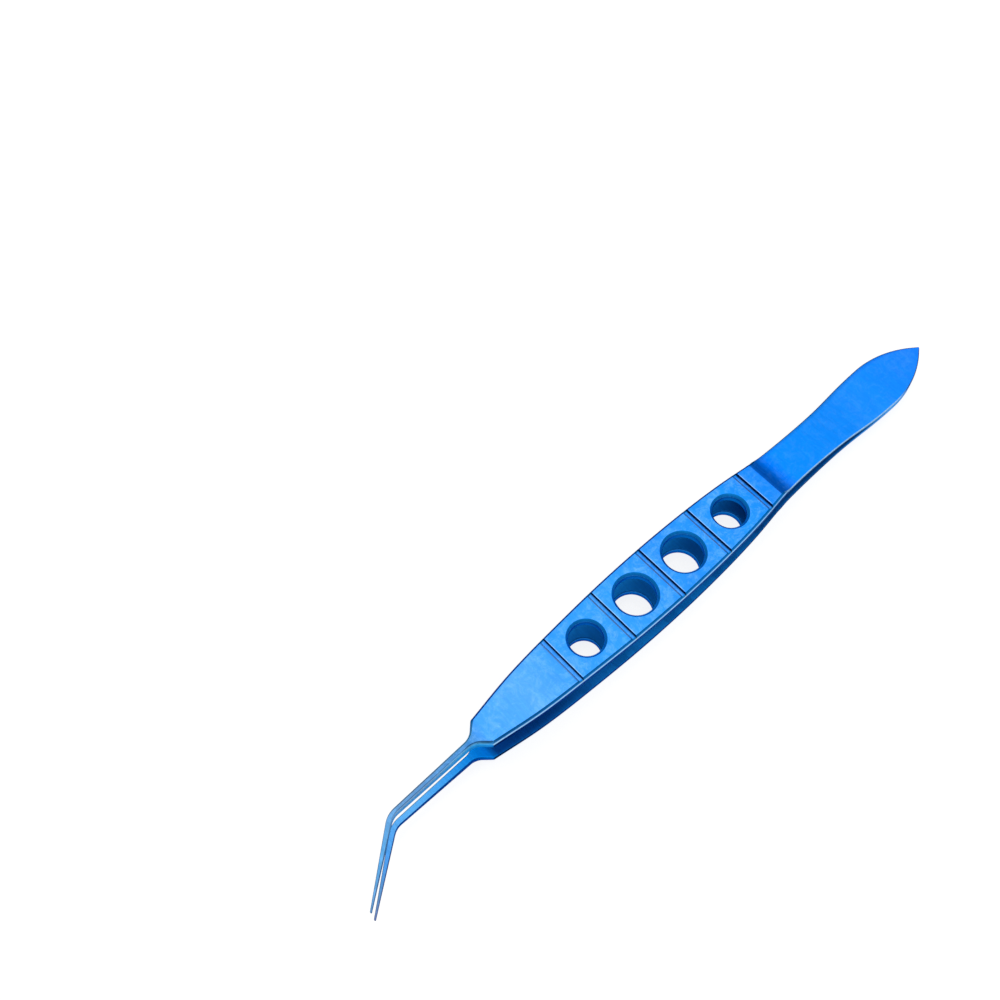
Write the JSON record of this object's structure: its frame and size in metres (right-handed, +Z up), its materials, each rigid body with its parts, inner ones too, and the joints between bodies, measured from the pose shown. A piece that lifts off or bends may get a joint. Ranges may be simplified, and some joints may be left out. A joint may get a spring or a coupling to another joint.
{
  "type": "ophthalmic forceps",
  "caption": "Flat spring forceps for eye surgery: pierced, cross-grooved grips on two bowed arms joined at a leaf-shaped tail, with fine side-angled tips that meet on flat platforms.",
  "frame": {"origin": "centre of the bounding box at the base, on the surface the forceps lie on", "axes": "+X along the forceps from the tail point to the tips, +Y to the side the tips are angled toward, +Z up from the lower arm to the upper arm"},
  "size_m": [0.1098, 0.0116, 0.008],
  "materials": {
    "anodised_titanium": "satin blue anodised titanium"
  },
  "bodies": {
    "lower": {"lower_arm": "anodised_titanium"},
    "upper": {"upper_arm": "anodised_titanium"}
  },
  "joints": [
    {"name": "squeeze", "type": "hinge", "parent": "lower", "child": "upper", "pos_m": [-0.04378, -0.00128, 0.0025], "axis": [0, 1, 0], "range_deg": [0, 2.55], "stiffness_Nm_per_rad": 0.9}
  ]
}
